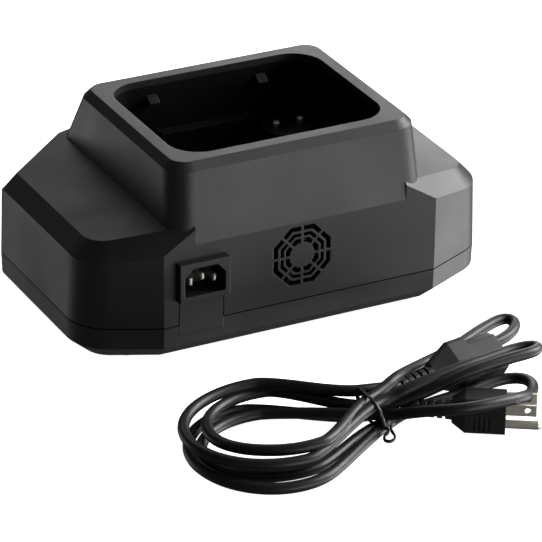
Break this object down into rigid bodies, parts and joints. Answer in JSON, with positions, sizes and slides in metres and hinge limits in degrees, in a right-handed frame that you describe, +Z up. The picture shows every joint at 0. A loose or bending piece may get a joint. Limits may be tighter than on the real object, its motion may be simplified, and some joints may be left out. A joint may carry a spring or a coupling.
{
  "type": "desktop charging base",
  "caption": "Desktop charging base: winged two-piece case with a deep open well, fan behind an octagonal grille, mains inlet, and a tied mains lead lying beside it.",
  "frame": {"origin": "centre of the case's footprint, inlet flange included, on the surface it stands on", "axes": "+X along the case's long side, -Y the side with the mains inlet and the fan grille, +Y the user's side, +Z up"},
  "size_m": [0.246, 0.3079, 0.112],
  "materials": {
    "case": "fine-textured moulded ABS, charcoal black",
    "rubber": "soft black feet",
    "steel": "zinc-plated steel",
    "liner": "moulded black plastic",
    "nickel": "nickel-plated brass",
    "fan_plastic": "moulded black plastic",
    "inlet_plastic": "black thermoset",
    "board": "green solder mask",
    "core": "varnished laminations",
    "winding": "enamelled copper wire",
    "capacitor": "shrink sleeve",
    "aluminium": "extruded",
    "component": "moulded epoxy and glass",
    "white_plastic": "nylon",
    "wire": "PVC insulation",
    "lens": "clear moulded lens",
    "lead_moulding": "moulded PVC",
    "cord": "PVC jacket"
  },
  "bodies": {
    "base": {"upper_case": "case", "lower_case": "case", "rubber_feet": "rubber", "case_screws": "steel", "well_liner": "liner", "contact_boss": "liner", "contact_seat": "liner", "contact_spring_left": "steel", "contact_spring_right": "steel", "latch_spring_left": "steel", "latch_spring_right": "steel", "fan_frame": "fan_plastic", "fan_retainers": "steel", "inlet_body": "inlet_plastic", "inlet_pins": "nickel", "main_board": "board", "board_screws": "steel", "transformer_core": "core", "transformer_winding": "winding", "capacitors": "capacitor", "line_filter": "winding", "heatsink": "aluminium", "power_transistors": "component", "fuse": "component", "board_connectors": "white_plastic", "wire_line": "wire", "wire_earth": "wire", "wire_neutral": "wire", "indicator_board": "board", "indicator_leds": "lens", "indicator_lenses": "lens", "lead_connector_body": "lead_moulding", "lead_connector_sockets": "nickel", "lead_connector_relief": "lead_moulding", "lead_plug_body": "lead_moulding", "lead_plug_blades": "nickel", "lead_plug_ground": "nickel", "lead_plug_relief": "lead_moulding", "lead_hank": "cord", "lead_tie": "cord"},
    "contact_pin_left": {"contact_pin_left": "nickel"},
    "contact_pin_right": {"contact_pin_right": "nickel"},
    "latch_left": {"latch_left": "liner"},
    "latch_right": {"latch_right": "liner"},
    "fan_rotor": {"fan_rotor": "fan_plastic"}
  },
  "joints": [
    {"name": "fan_spin", "type": "hinge", "parent": "base", "child": "fan_rotor", "pos_m": [0, -0.067, 0.0488], "axis": [0, 1, 0], "continuous": true},
    {"name": "contact_left_press", "type": "slide", "parent": "base", "child": "contact_pin_left", "axis": [0, 0, -1], "range_m": [0, 0.002], "stiffness_N_per_m": 150, "springref_m": -0.0004, "deforming": ["contact_spring_left"]},
    {"name": "contact_right_press", "type": "slide", "parent": "base", "child": "contact_pin_right", "axis": [0, 0, -1], "range_m": [0, 0.002], "stiffness_N_per_m": 150, "springref_m": -0.0004, "deforming": ["contact_spring_right"]},
    {"name": "latch_left_press", "type": "slide", "parent": "base", "child": "latch_left", "axis": [0, 1, 0], "range_m": [0, 0.0025], "stiffness_N_per_m": 300, "springref_m": -0.0005, "deforming": ["latch_spring_left"]},
    {"name": "latch_right_press", "type": "slide", "parent": "base", "child": "latch_right", "axis": [0, 1, 0], "range_m": [0, 0.0025], "stiffness_N_per_m": 300, "springref_m": -0.0005, "deforming": ["latch_spring_right"]}
  ]
}
